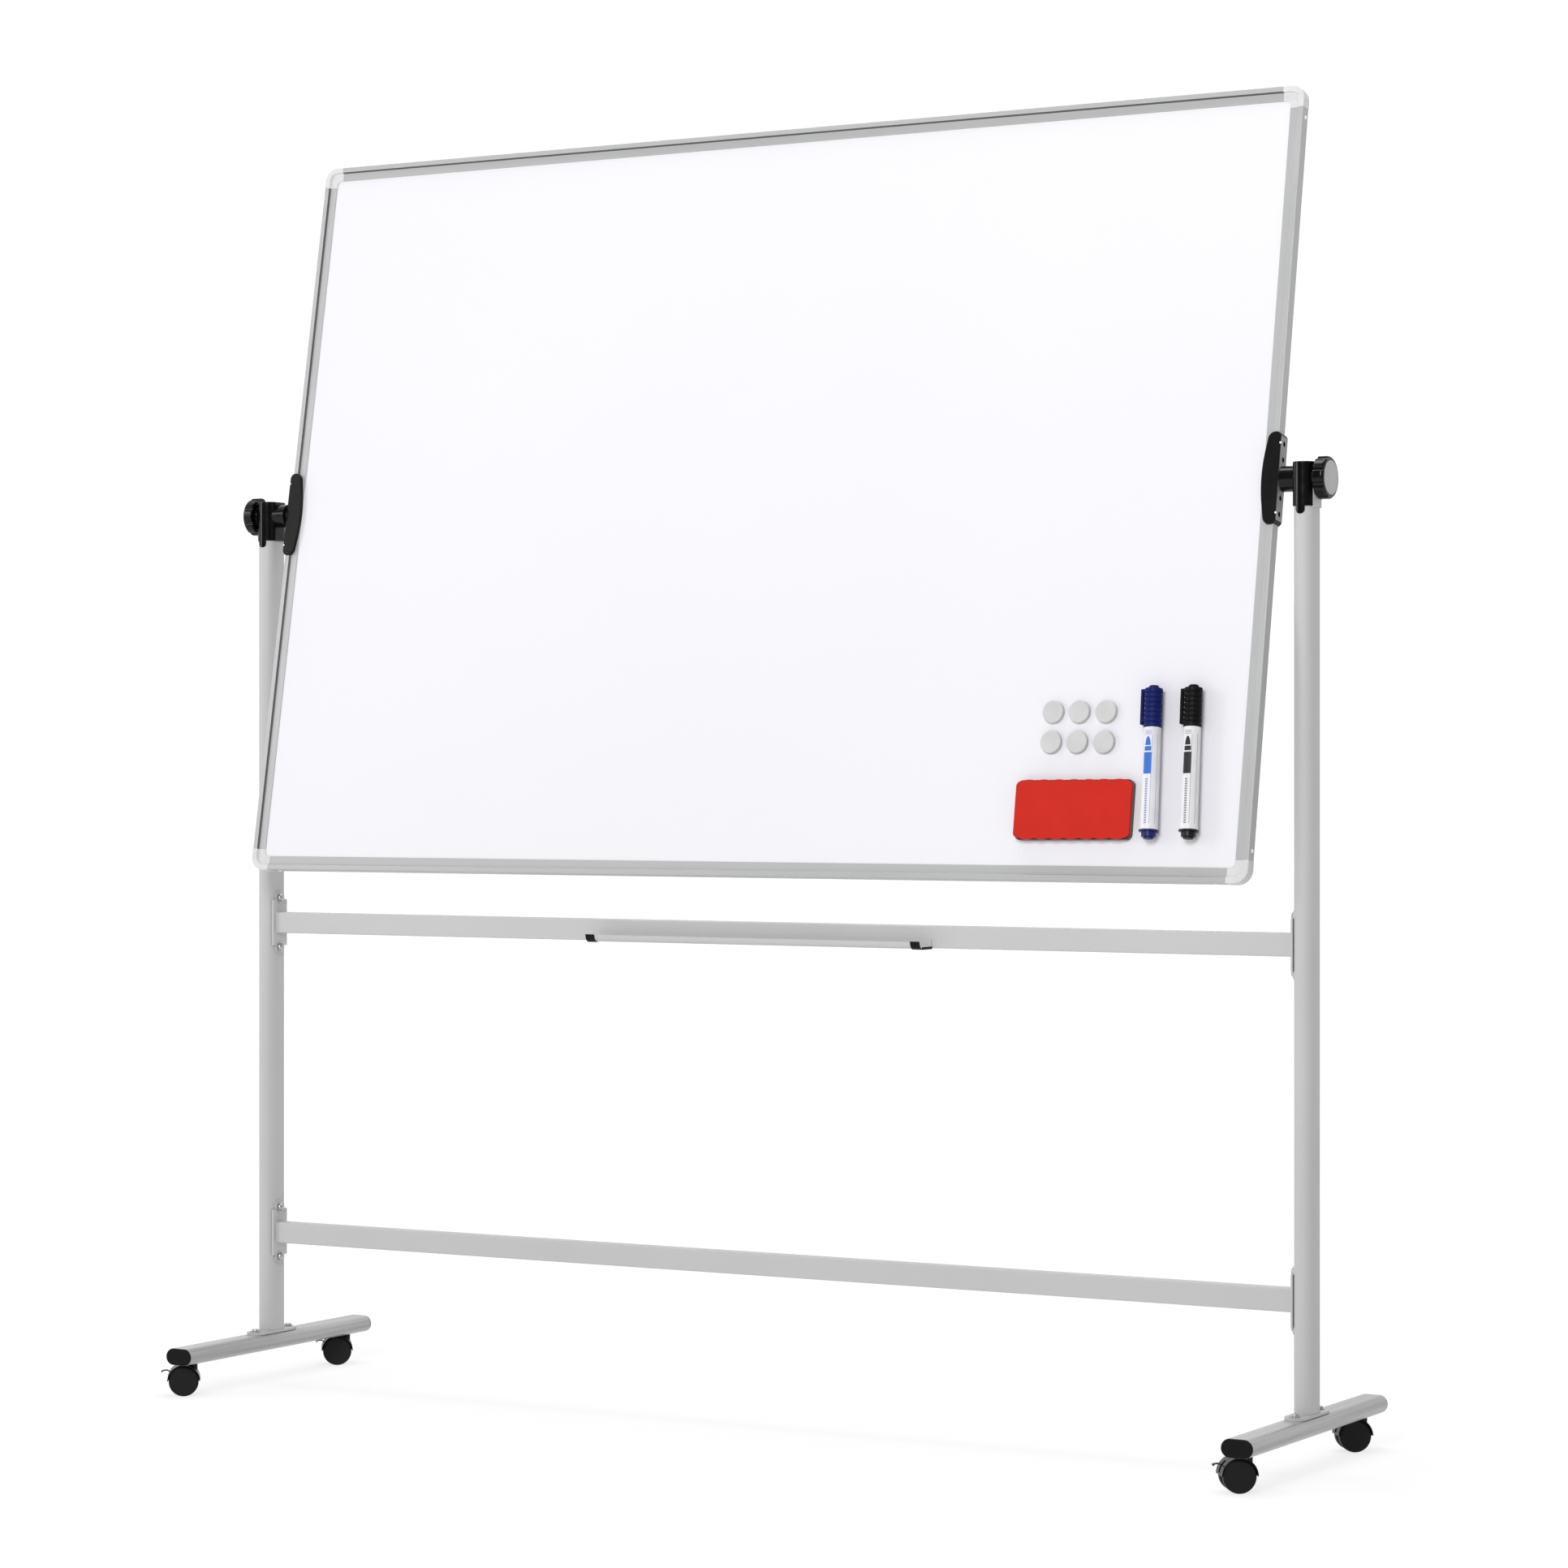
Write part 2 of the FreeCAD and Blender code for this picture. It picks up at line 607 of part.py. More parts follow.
def rail_corners(proud=0.0, inner_edge=rail_width):
    """Rail section as (inward distance, depth from the middle plane, radius), front side first."""
    bead = half_bead + proud
    lip = half_lip + proud
    front = [(-proud, -bead, bead_radius), (bead_width + proud, -bead, 1.2), (bead_foot + proud, -lip, 0.6),
             (inner_edge, -lip, 0.6), (inner_edge, -pocket_half - 0.02, 0), (web_end, -pocket_half - 0.02, 0)]
    back = [(a, -b, r) for a, b, r in reversed(front)]
    return front + back


def build_rail_along_x(side):
    """Top (side 1) or bottom (side -1) rail."""
    section = [(b, side * (half_height - a), r) for a, b, r in rail_corners()]
    reach = half_width - cap_leg
    rail = prism(section, "yz", -reach, reach)
    hollow = rectangle((-hollow_half, hollow_half),
                       sorted((side * (half_height - hollow_start), side * (half_height - hollow_end))))
    return rail.cut(prism(hollow, "yz", -reach - 1, reach + 1))


def build_rail_along_z(side):
    """Right (side 1) or left (side -1) rail."""
    section = [(side * (half_width - a), b, r) for a, b, r in rail_corners()]
    reach = half_height - cap_leg
    rail = prism(section, "xy", -reach, reach)
    hollow = rectangle(sorted((side * (half_width - hollow_start), side * (half_width - hollow_end))),
                       (-hollow_half, hollow_half))
    return rail.cut(prism(hollow, "xy", -reach - 1, reach + 1))


def build_corner_cap():
    """Top right corner cap: the rail's outside form carried round the corner, with two tongues."""
    corners = rail_corners(cap_proud)
    short_corners = rail_corners(cap_proud, cap_corner_radius - 0.5)
    centre_x = half_width - cap_corner_radius
    centre_z = half_height - cap_corner_radius
    upright = [(half_width - a, b, r) for a, b, r in corners]
    level = [(b, half_height - a, r) for a, b, r in corners]
    leg_z = prism(upright, "xy", half_height - cap_leg, centre_z)
    leg_x = prism(level, "yz", half_width - cap_leg, centre_x)
    bend_section = [(half_width - a, b, r) for a, b, r in short_corners]
    face = Part.Face(outline(bend_section, "xy", centre_z))
    bend = face.revolve(Vector(centre_x, 0, centre_z), Y_AXIS, -90)
    fill_radius = 9.0
    fill_x = half_width - rail_width - fill_radius
    fill_z = half_height - rail_width - fill_radius
    fill_end = 14.0
    pieces = [leg_x, bend]
    for sign in (-1, 1):
        levels = sorted((sign * (pocket_half + 0.02), sign * (half_lip + cap_proud)))
        square = box((fill_x, half_width - fill_end), levels, (fill_z, half_height - fill_end))
        round_cut = rod(fill_radius, Vector(fill_x, levels[0] - 1, fill_z),
                        Vector(fill_x, levels[1] + 1, fill_z))
        pieces.append(square.cut(round_cut))
    tongue_y = (-hollow_half + 0.3, hollow_half - 0.3)
    tongue_end = cap_leg + 24.0
    tongue_outer = hollow_start + 0.3
    tongue_inner = hollow_end - 0.3
    pieces.append(box((half_width - tongue_end, half_width - cap_leg + 1), tongue_y,
                      (half_height - tongue_inner, half_height - tongue_outer)))
    pieces.append(box((half_width - tongue_inner, half_width - tongue_outer), tongue_y,
                      (half_height - tongue_end, half_height - cap_leg + 1)))
    return joined(leg_z, *pieces)


def panel_corners(radius):
    x = half_width - panel_inset
    z = half_height - panel_inset
    return rectangle((-x, x), (-z, z), radius)


def build_panel(y_span):
    radius = cap_corner_radius - panel_inset
    return prism(panel_corners(radius), "xz", *y_span)


# corner screws: (position, outward direction)
corner_screws = []
for sx in (-1, 1):
    for sz in (-1, 1):
        corner_screws.append((Vector(sx * half_width, 0, sz * (half_height - side_screw_inset)),
                              Vector(sx, 0, 0)))
        corner_screws.append((Vector(sx * (half_width - end_screw_inset), 0, sz * half_height),
                              Vector(0, 0, sz)))
corner_screw_radius = 1.6
corner_screw_length = 6.0


def drill_corner_screws(shape):
    for place, outward in corner_screws:
        shape = shape.cut(rod(corner_screw_radius, place - outward * (corner_screw_length + 1.5), place + outward))
    return shape


def build_corner_screw(place, outward):
    screw = domed_screw(3.0, 1.5, corner_screw_radius - 0.02, corner_screw_length)
    screw.Placement = FreeCAD.Placement(place, FreeCAD.Rotation(X_AXIS, outward)).multiply(screw.Placement)
    return screw


# ---- pivot brackets and studs ------------------------------------------------------------
bracket_outer = half_width + 4.3
bracket_half_height = 70.5
bracket_cheek = 2.25
bracket_face = half_bead + bracket_cheek
bracket_screw_heights = (-53.2, -29.0, 29.0, 53.2)
bracket_hole_radius = 4.1
bracket_clear = 0.05
collar_radius = 12.5
stud_head_radius = 9.0
stud_head_end = half_width + 3.4


def build_bracket():
    """Moulded shoe over the side rail: a flange on the rail's side and a bulging cheek front and back."""
    top = bracket_half_height
    cheek_outline = [(bracket_outer, top, 9), (bracket_outer - 20, top, 12), (bracket_outer - 31.6, 0, 260),
                     (bracket_outer - 20, -top, 12), (bracket_outer, -top, 9)]
    full = prism(cheek_outline, "xz", -bracket_face, bracket_face)
    rims = [e for e in full.Edges
            if abs(e.BoundBox.YMax - e.BoundBox.YMin) < 1e-3 and e.BoundBox.XMax < bracket_outer + 1]
    full = full.makeFillet(1.1, rims)
    wall_x = half_width + bracket_clear
    front = [(wall_x, -half_bead - bracket_clear, 0),
             (half_width - bead_width - 0.1, -half_bead - bracket_clear, 0),
             (half_width - bead_foot - 0.1, -half_lip - bracket_clear, 0.7),
             (half_width - 60, -half_lip - bracket_clear, 0)]
    back = [(x, -y, r) for x, y, r in reversed(front)]
    rail_room = prism(front + back, "xy", -top - 1, top + 1)
    collar = rod_x(collar_radius, (wall_x, collar_end))
    shoe = joined(full, collar).cut(rail_room)
    for z in bracket_screw_heights:
        shoe = shoe.cut(rod_x(bracket_hole_radius, (half_width - 1, bracket_outer + 1), 0, z))
    shoe = shoe.cut(rod_x(stud_head_radius + 0.1, (half_width - 1, stud_head_end + 0.1)))
    return shoe.cut(rod_x(stud_radius + 0.02, (half_width - 1, collar_end + 1)))


def build_bracket_screw(z):
    """Pan-head screw sunk in its hole in the bracket's flange."""
    screw = domed_screw(bracket_hole_radius - 0.3, 1.2, 1.9, 5.0)
    return moved(screw, Vector(half_width, 0, z))


def drill_bracket_screws(rail, side):
    for z in bracket_screw_heights:
        rail = rail.cut(on_side(rod_x(1.95, (half_width - 8, half_width + 1), 0, z), side))
    return rail


def build_stud():
    """Pivot stud: its head sits in the bracket and its shank runs out through the clamp to the knob."""
    return turned([(half_width + 0.3, 0, 0), (half_width + 0.3, stud_head_radius, 0.5),
                   (stud_head_end, stud_head_radius, 0), (stud_head_end, stud_radius, 0),
                   (stud_end, stud_radius, 1.0), (stud_end, 0, 0)])


# ---- accessories on the front face -------------------------------------------------------
# Placed by (x, z) on the upright board.
surface_y = -pocket_half
contact_gap = 0.2
magnet_radius = 17.3
magnet_thickness = 7.0
magnet_columns = (565.5, 609.0, 653.5)
magnet_rows = (-349.5, -395.7)
eraser_centre = (614.5, -499.1)
eraser_size = (191.8, 90.6)
eraser_corner = 9.0
felt_thickness = 9.0
eraser_shell_thickness = 5.0
eraser_lobes = 7
lobe_depth = 2.2
eraser_lean = 0.6
marker_lean = 2.35            # degrees, tops leaning towards -X
marker_foot = {"blue": (743.8, -543.5), "black": (808.1, -543.0)}
plug_end_length = 3.0
plug_length = 10.8
plug_flange_end = 13.4
barrel_end = 166.9
cap_start = barrel_end + body_gap
cap_end = 226.1
dome_end = 230.8
plug_flange_radius = 14.8
marker_axis_y = surface_y - plug_flange_radius - contact_gap


def build_magnet(x, z):
    button = turned([(0, 0, 0), (0, magnet_radius, 0.6), (magnet_thickness, magnet_radius, 2.0),
                     (magnet_thickness, 0, 0)])
    button = turned_about(button, ORIGIN, Z_AXIS, -90)
    return moved(button, Vector(x, surface_y - contact_gap, z))


def eraser_outline(y):
    """Rounded oblong whose long edges are rows of shallow lobes, centred on the origin."""
    half_x = eraser_size[0] / 2
    half_z = eraser_size[1] / 2
    straight = half_x - eraser_corner
    pitch = 2 * straight / eraser_lobes
    edges = []
    for sign in (1, -1):
        low = half_z - lobe_depth
        for i in range(eraser_lobes):
            start = sign * (-straight + i * pitch)
            end = sign * (-straight + (i + 1) * pitch)
            edges.append(Part.Arc(Vector(start, y, sign * low), Vector((start + end) / 2, y, sign * half_z),
                                  Vector(end, y, sign * low)).toShape())
        shoulder = low - eraser_corner + lobe_depth
        bend = eraser_corner * (1 - math.sqrt(0.5))
        edges.append(Part.Arc(Vector(sign * straight, y, sign * low),
                              Vector(sign * (half_x - bend), y, sign * (low - bend * 0.8)),
                              Vector(sign * half_x, y, sign * shoulder)).toShape())
        edges.append(Part.LineSegment(Vector(sign * half_x, y, sign * shoulder),
                                      Vector(sign * half_x, y, -sign * shoulder)).toShape())
        edges.append(Part.Arc(Vector(sign * half_x, y, -sign * shoulder),
                              Vector(sign * (half_x - bend), y, -sign * (low - bend * 0.8)),
                              Vector(sign * straight, y, -sign * low)).toShape())
    return Part.Wire(Part.__sortEdges__(edges))


def place_eraser(shape):
    leaned = turned_about(shape, ORIGIN, Y_AXIS, -eraser_lean)
    return moved(leaned, Vector(eraser_centre[0], 0, eraser_centre[1]))


def build_eraser_shell():
    back = surface_y - contact_gap - felt_thickness
    shell = Part.Face(eraser_outline(back)).extrude(Y_AXIS * -eraser_shell_thickness)
    return place_eraser(shell)


def build_eraser_felt():
    half_x = eraser_size[0] / 2
    half_z = eraser_size[1] / 2
    back = surface_y - contact_gap
    felt = prism(rectangle((-half_x, half_x), (-half_z, half_z), eraser_corner), "xz",
                 back - felt_thickness, back)
    return place_eraser(felt)


def place_marker(shape, colour):
    """Marker pieces are drawn along X from the marker's foot; stands them on the board."""
    upright = turned_about(shape, ORIGIN, Y_AXIS, -90)
    leaned = turned_about(upright, ORIGIN, Y_AXIS, -marker_lean)
    foot_x, foot_z = marker_foot[colour]
    return moved(leaned, Vector(foot_x, marker_axis_y, foot_z))


def build_marker_barrel():
    """White barrel with its end plug, its nose and the writing tip."""
    return turned([(0, 0, 0), (0, 7.6, 1.0), (plug_end_length, 7.6, 0), (plug_end_length, 10.8, 0.6),
                   (plug_length, 10.8, 0), (plug_length, plug_flange_radius, 0.6),
                   (plug_flange_end, plug_flange_radius, 0.6), (plug_flange_end, 14.0, 0),
                   (barrel_end, 13.1, 0.8), (barrel_end, 9.2, 0), (barrel_end + 22, 8.0, 1.5),
                   (barrel_end + 22, 3.0, 0), (barrel_end + 31, 2.2, 1.0), (barrel_end + 31, 0, 0)])


def build_marker_cap():
    """Ribbed pull-off cap with a pocket clip."""
    radius = 13.45
    ring_count = 8
    ring_pitch = (cap_end - cap_start) / ring_count
    cap = turned([(cap_start, 0, 0), (cap_start, radius, 0.6), (cap_end, radius, 1.2), (cap_end, 8.0, 0),
                  (dome_end, 7.0, 2.5), (dome_end, 0, 0)])
    for i in range(1, ring_count):
        x = cap_start + i * ring_pitch
        ring = turned([(x - 1.6, radius + 0.2, 0), (x - 0.3, radius - 1.3, 0.2), (x + 0.3, radius - 1.3, 0.2),
                       (x + 1.6, radius + 0.2, 0)])
        cap = cap.cut(ring)
    hollow = turned([(cap_start - 1, 0, 0), (cap_start - 1, 9.8, 0), (cap_start + 40, 8.8, 1.0),
                     (cap_start + 40, 0, 0)])
    cap = cap.cut(hollow)
    clip_reach = radius + 6.1
    clip = prism([(cap_start + 5, -clip_reach, 1.0), (cap_start + 5, -clip_reach + 3.4, 0.5),
                  (cap_end - 5.5, -clip_reach + 3.6, 0), (cap_end - 5.5, -radius + 2, 0),
                  (cap_end - 0.5, -radius + 2, 0), (cap_end - 0.5, -clip_reach, 1.5)], "xz", -3.2, 3.2)
    heel = prism([(cap_start + 7.5, -clip_reach + 3, 0), (cap_start + 10.5, -clip_reach + 5.2, 0),
                  (cap_start + 13.5, -clip_reach + 3, 0)], "xz", -3.2, 3.2)
    return joined(cap, turned_about(joined(clip, heel), ORIGIN, X_AXIS, 180))


# ---- assembly ----------------------------------------------------------------------------
def on_board(*shapes):
    """Puts pieces drawn upright around the pivot into their tilted rest place."""
    result = []
    for shape in shapes:
        tilted = turned_about(shape, ORIGIN, X_AXIS, -board_tilt)
        result.append(moved(tilted, Vector(0, 0, pivot_height)))
    return result


def build_stand():
    post = build_post()
    foot = build_foot()
    clamp = build_clamp()
    for name, side in SIDES:
        save(f"{name}_post", on_side(post, side))
        save(f"{name}_foot", on_side(foot, side))
        save(f"{name}_post_clamp", on_side(clamp, side))
    both = [side for _, side in SIDES]
    save("foot_end_caps", *[on_side(build_foot_end_cap(end), s) for s in both for end in (-1, 1)])
    save("post_base_plates", *[on_side(build_base_plate(), s) for s in both])
    save("clamp_straps", *[on_side(build_strap(), s) for s in both])
    bars = {"upper": upper_bar_z, "lower": lower_bar_z}
    for name, bar_z in bars.items():
        save(f"{name}_crossbar", build_crossbar(bar_z))
    save("crossbar_end_plates", *[on_side(build_end_plate(z), s) for z in bars.values() for s in both])
    screws = [on_side(build_base_bolt(y), s) for s in both for y in (-base_bolt_y, base_bolt_y)]
    for z in bars.values():
        for offset in (-crossbar_screw_offset, crossbar_screw_offset):
            screws += [on_side(build_crossbar_screw(z + offset), s) for s in both]
    save("stand_screws", *screws)
    save("pen_tray", build_tray())
    save("tray_end_caps", *[build_tray_end_cap(s) for s in both])
    stem = build_caster_stem()
    save("caster_stems", *[moved(stem, Vector(s * post_x, end * caster_y, 0))
                           for s in both for end in (-1, 1)])


def build_knobs():
    knob = build_knob()
    cap = build_knob_cap()
    for name, side in SIDES:
        save(f"{name}_knob", on_side(knob, side))
        save(f"{name}_knob_cap", on_side(cap, side))


def build_casters():
    yoke = build_caster_yoke()
    axle = build_axle()
    outer_wheel = build_wheel(1)
    inner_wheel = build_wheel(-1)
    lever = build_brake_lever()
    for end_name, end in (("front", -1), ("back", 1)):
        for side_name, side in SIDES:
            name = f"{end_name}_{side_name}"
            save(f"{name}_caster_yoke", place_caster(yoke, side, end), place_caster(axle, side, end))
            save(f"{name}_wheel_a", place_caster(outer_wheel, side, end))
            save(f"{name}_wheel_b", place_caster(inner_wheel, side, end))
            save(f"{name}_brake_lever", place_caster(lever, side, end))


def build_board():
    save("board_core", *on_board(build_panel((-pocket_half + sheet_thickness, pocket_half - sheet_thickness))))
    save("front_sheet", *on_board(build_panel((-pocket_half, -pocket_half + sheet_thickness))))
    save("back_sheet", *on_board(build_panel((pocket_half - sheet_thickness, pocket_half))))
    for name, side in (("top", 1), ("bottom", -1)):
        save(f"frame_{name}_rail", *on_board(drill_corner_screws(build_rail_along_x(side))))
    for name, side in SIDES:
        rail = drill_bracket_screws(drill_corner_screws(build_rail_along_z(side)), side)
        save(f"frame_{name}_rail", *on_board(rail))
        save(f"{name}_pivot_bracket", *on_board(on_side(build_bracket(), side)))
    cap = build_corner_cap()
    caps = [cap, mirrored_x(cap)]
    caps += [c.mirror(ORIGIN, Z_AXIS) for c in caps]
    save("frame_corner_caps", *on_board(*[drill_corner_screws(c) for c in caps]))
    screws = [build_corner_screw(*screw) for screw in corner_screws]
    screws += [on_side(build_bracket_screw(z), s) for _, s in SIDES for z in bracket_screw_heights]
    save("frame_screws", *on_board(*screws))
    save("pivot_studs", *on_board(*[on_side(build_stud(), s) for _, s in SIDES]))


def build_accessories():
    for row, z in zip(("upper", "lower"), magnet_rows):
        for column, x in enumerate(magnet_columns, start=1):
            save(f"{row}_magnet_{column}", *on_board(build_magnet(x, z)))
    save("eraser_shell", *on_board(build_eraser_shell()))
    save("eraser_felt", *on_board(build_eraser_felt()))
    barrel = build_marker_barrel()
    cap = build_marker_cap()
    for colour in marker_foot:
        save(f"{colour}_marker_barrel", *on_board(place_marker(barrel, colour)))
        save(f"{colour}_marker_cap", *on_board(place_marker(cap, colour)))


build_stand()
build_knobs()
build_casters()
build_board()
build_accessories()
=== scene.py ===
import math

import bmesh
import bpy
from mathutils import Matrix, Vector


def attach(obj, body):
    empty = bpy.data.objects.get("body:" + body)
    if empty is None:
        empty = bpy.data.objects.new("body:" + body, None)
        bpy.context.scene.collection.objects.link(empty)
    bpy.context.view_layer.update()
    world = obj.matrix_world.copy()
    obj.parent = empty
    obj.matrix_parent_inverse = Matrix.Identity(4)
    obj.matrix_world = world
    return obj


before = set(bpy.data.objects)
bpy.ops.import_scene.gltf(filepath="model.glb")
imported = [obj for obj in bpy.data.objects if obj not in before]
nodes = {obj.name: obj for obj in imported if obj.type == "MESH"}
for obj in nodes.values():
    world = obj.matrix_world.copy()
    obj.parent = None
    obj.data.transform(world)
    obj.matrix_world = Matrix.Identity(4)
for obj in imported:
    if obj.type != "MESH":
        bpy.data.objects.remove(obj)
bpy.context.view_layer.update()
scene = bpy.context.scene

# ---- the board's own frame ---------------------------------------------------------------
board_tilt = math.radians(10.2)
pivot_height = 1.462
board_place = Matrix.Translation((0, 0, pivot_height)) @ Matrix.Rotation(-board_tilt, 4, "X")
sheet_front = -0.0045            # the front sheet's surface, from the board's middle plane
board_up = board_place.to_3x3() @ Vector((0, 0, 1))
half_width = 0.9025
half_height = 0.606
step_start = 0.0084              # the step under the frame's bead, from the board's outer edge
step_end = 0.0102
flange_from = 0.9066             # the brackets' outer faces lie between these, from the middle
flange_to = 0.9069


# ---- materials ---------------------------------------------------------------------------
class Paint:
    """A Principled material under construction, with short calls for the nodes that feed it."""

    def __init__(self, name, colour, roughness, metallic=0.0, specular=0.5, coat=0.0, coat_roughness=0.1):
        self.material = bpy.data.materials.new(name)
        self.material.use_nodes = True
        self.tree = self.material.node_tree
        self.shader = self.tree.nodes["Principled BSDF"]
        self.colour = (*colour, 1.0)
        self.base = self.colour          # what feeds Base Color: a colour, or a socket once mixed
        self.roughness = roughness
        self.shader.inputs["Base Color"].default_value = self.colour
        self.shader.inputs["Roughness"].default_value = roughness
        self.shader.inputs["Metallic"].default_value = metallic
        self.shader.inputs["Specular IOR Level"].default_value = specular
        self.shader.inputs["Coat Weight"].default_value = coat
        self.shader.inputs["Coat Roughness"].default_value = coat_roughness
        self.coordinates = self.tree.nodes.new("ShaderNodeTexCoord")
        self.position = self.coordinates.outputs["Object"]
        self.last_normal = None

    def link(self, source, target):
        self.tree.links.new(source, target)

    def math(self, operation, a, b=None):
        node = self.tree.nodes.new("ShaderNodeMath")
        node.operation = operation
        for socket, value in zip(node.inputs, (a, b)):
            if value is None:
                continue
            if isinstance(value, (int, float)):
                socket.default_value = value
            else:
                self.link(value, socket)
        return node.outputs[0]

    def noise(self, scale, stretch=(1, 1, 1), detail=3.0, roughness=0.5):
        mapping = self.tree.nodes.new("ShaderNodeMapping")
        mapping.inputs["Scale"].default_value = stretch
        self.link(self.position, mapping.inputs["Vector"])
        node = self.tree.nodes.new("ShaderNodeTexNoise")
        node.inputs["Scale"].default_value = scale
        node.inputs["Detail"].default_value = detail
        node.inputs["Roughness"].default_value = roughness
        self.link(mapping.outputs[0], node.inputs["Vector"])
        return node.outputs["Fac"]

    def remap(self, value, low, high, start=0.3, end=0.7):
        node = self.tree.nodes.new("ShaderNodeMapRange")
        node.inputs["From Min"].default_value = start
        node.inputs["From Max"].default_value = end
        node.inputs["To Min"].default_value = low
        node.inputs["To Max"].default_value = high
        self.link(value, node.inputs["Value"])
        return node.outputs["Result"]

    def mix(self, factor, a, b):
        node = self.tree.nodes.new("ShaderNodeMix")
        node.data_type = "RGBA"
        self.link(factor, node.inputs["Factor"])
        colour_sockets = [s for s in node.inputs if s.type == "RGBA"]
        for socket, value in zip(colour_sockets, (a, b)):
            if isinstance(value, tuple):
                socket.default_value = value
            else:
                self.link(value, socket)
        return next(s for s in node.outputs if s.type == "RGBA")

    def mottle(self, scale, share, stretch=(1, 1, 1)):
        """Colour that drifts by this share either side of the base colour."""
        drift = self.remap(self.noise(scale, stretch), 0.0, 1.0)
        dark = tuple(c * (1 - share) for c in self.colour[:3]) + (1.0,)
        light = tuple(min(1.0, c * (1 + share)) for c in self.colour[:3]) + (1.0,)
        self.base = self.mix(drift, dark, light)
        self.link(self.base, self.shader.inputs["Base Color"])
        return self

    def sheen_of_use(self, scale, spread, stretch=(1, 1, 1)):
        """Roughness that varies from place to place."""
        uneven = self.noise(scale, stretch)
        self.link(self.remap(uneven, self.roughness - spread, self.roughness + spread),
                  self.shader.inputs["Roughness"])
        return self

    def grain(self, scale, depth, stretch=(1, 1, 1), detail=3.0):
        """Relief of this depth in metres."""
        bump = self.tree.nodes.new("ShaderNodeBump")
        bump.inputs["Distance"].default_value = depth
        bump.inputs["Strength"].default_value = 1.0
        self.link(self.noise(scale, stretch, detail), bump.inputs["Height"])
        if self.last_normal is not None:
            self.link(self.last_normal, bump.inputs["Normal"])
        self.last_normal = bump.outputs["Normal"]
        self.link(self.last_normal, self.shader.inputs["Normal"])
        return self

    def along(self, origin, axis):
        """Distance along an axis from an origin, in the piece's own rest place."""
        shift = self.tree.nodes.new("ShaderNodeVectorMath")
        shift.operation = "SUBTRACT"
        shift.inputs[1].default_value = origin
        self.link(self.position, shift.inputs[0])
        dot = self.tree.nodes.new("ShaderNodeVectorMath")
        dot.operation = "DOT_PRODUCT"
        dot.inputs[1].default_value = axis
        self.link(shift.outputs[0], dot.inputs[0])
        return dot.outputs["Value"]

    def tint_where(self, mask, colour):
        """Lays another colour where the mask is 1."""
        self.base = self.mix(mask, self.base, (*colour, 1.0))
        self.link(self.base, self.shader.inputs["Base Color"])
        return self


def silver_lacquer():
    paint = Paint("silver_lacquer", (0.44, 0.44, 0.443), 0.45, specular=0.35)
    return paint.mottle(3.0, 0.025).sheen_of_use(9.0, 0.05).grain(900.0, 0.00002, detail=2.0).material


def drawn_foot():
    """The feet's lacquer over a drawn tube, with faint lines along it."""
    along_foot = (1.0, 0.015, 1.0)
    paint = Paint("silver_lacquer_foot", (0.345, 0.345, 0.348), 0.32, metallic=0.35, specular=0.4)
    paint.mottle(170.0, 0.16, along_foot).sheen_of_use(90.0, 0.08, along_foot)
    return paint.grain(220.0, 0.00012, along_foot).material


def drawn_aluminium(name, stretch, place, axis, shade_from, shade_to):
    """Anodised rail with fine lines along it. The top and left ones carry painted shade: a dark line painted
    in the step under the bead.
    """
    paint = Paint(name, (0.385, 0.388, 0.39), 0.4, metallic=0.1, specular=0.3)
    paint.mottle(60.0, 0.03, stretch).sheen_of_use(5.0, 0.05).grain(250.0, 0.00001, stretch)
    distance = paint.along(place, axis)
    # Painted shade: the step under the bead is darkened in the colour, on the top and left rails only.
    step = paint.math("MULTIPLY", paint.math("GREATER_THAN", distance, shade_from),
                      paint.math("LESS_THAN", distance, shade_to))
    return paint.tint_where(step, (0.10, 0.10, 0.102)).material


def white_lacquer():
    paint = Paint("white_dry_wipe_lacquer", (0.68, 0.675, 0.71), 0.4, specular=0.15)
    return paint.mottle(1.3, 0.008).sheen_of_use(3.0, 0.03).grain(140.0, 0.000008, detail=1.0).material


def plastic(name, colour, roughness, grain_depth=0.00002, drift=0.06, specular=0.5, coat=0.0):
    paint = Paint(name, colour, roughness, specular=specular, coat=coat)
    return paint.mottle(25.0, drift).sheen_of_use(60.0, 0.04).grain(1600.0, grain_depth, detail=2.0)


def bracket_plastic():
    """Black moulding. The outer face of its rail-side flange carries a painted reflection: a pale grey band
    in place of the black.
    """
    paint = plastic("bracket_black_plastic", (0.006, 0.006, 0.0065), 0.34, specular=0.10)
    side = paint.tree.nodes.new("ShaderNodeSeparateXYZ")
    paint.link(paint.position, side.inputs[0])
    reach = paint.math("ABSOLUTE", side.outputs["X"])
    # Painted reflection: pale grey laid on the flange's outer face, standing in for the glossy black
    # reflecting its bright surroundings.
    flange_painted_reflection = paint.math("MULTIPLY", paint.math("GREATER_THAN", reach, flange_from),
                        paint.math("LESS_THAN", reach, flange_to))
    return paint.tint_where(flange_painted_reflection, (0.30, 0.30, 0.305)).material


def zinc():
    paint = Paint("zinc_plate", (0.42, 0.42, 0.43), 0.28, metallic=0.8)
    return paint.mottle(300.0, 0.06).sheen_of_use(400.0, 0.08).grain(1500.0, 0.00001).material


def felt():
    paint = Paint("grey_felt", (0.018, 0.023, 0.021), 0.95, specular=0.1)
    paint.shader.inputs["Sheen Weight"].default_value = 0.4
    return paint.mottle(500.0, 0.4).grain(900.0, 0.0004, detail=5.0).material


def board_card():
    paint = Paint("board_core_card", (0.52, 0.42, 0.30), 0.8, specular=0.2)
    return paint.mottle(60.0, 0.08).grain(400.0, 0.0001).material


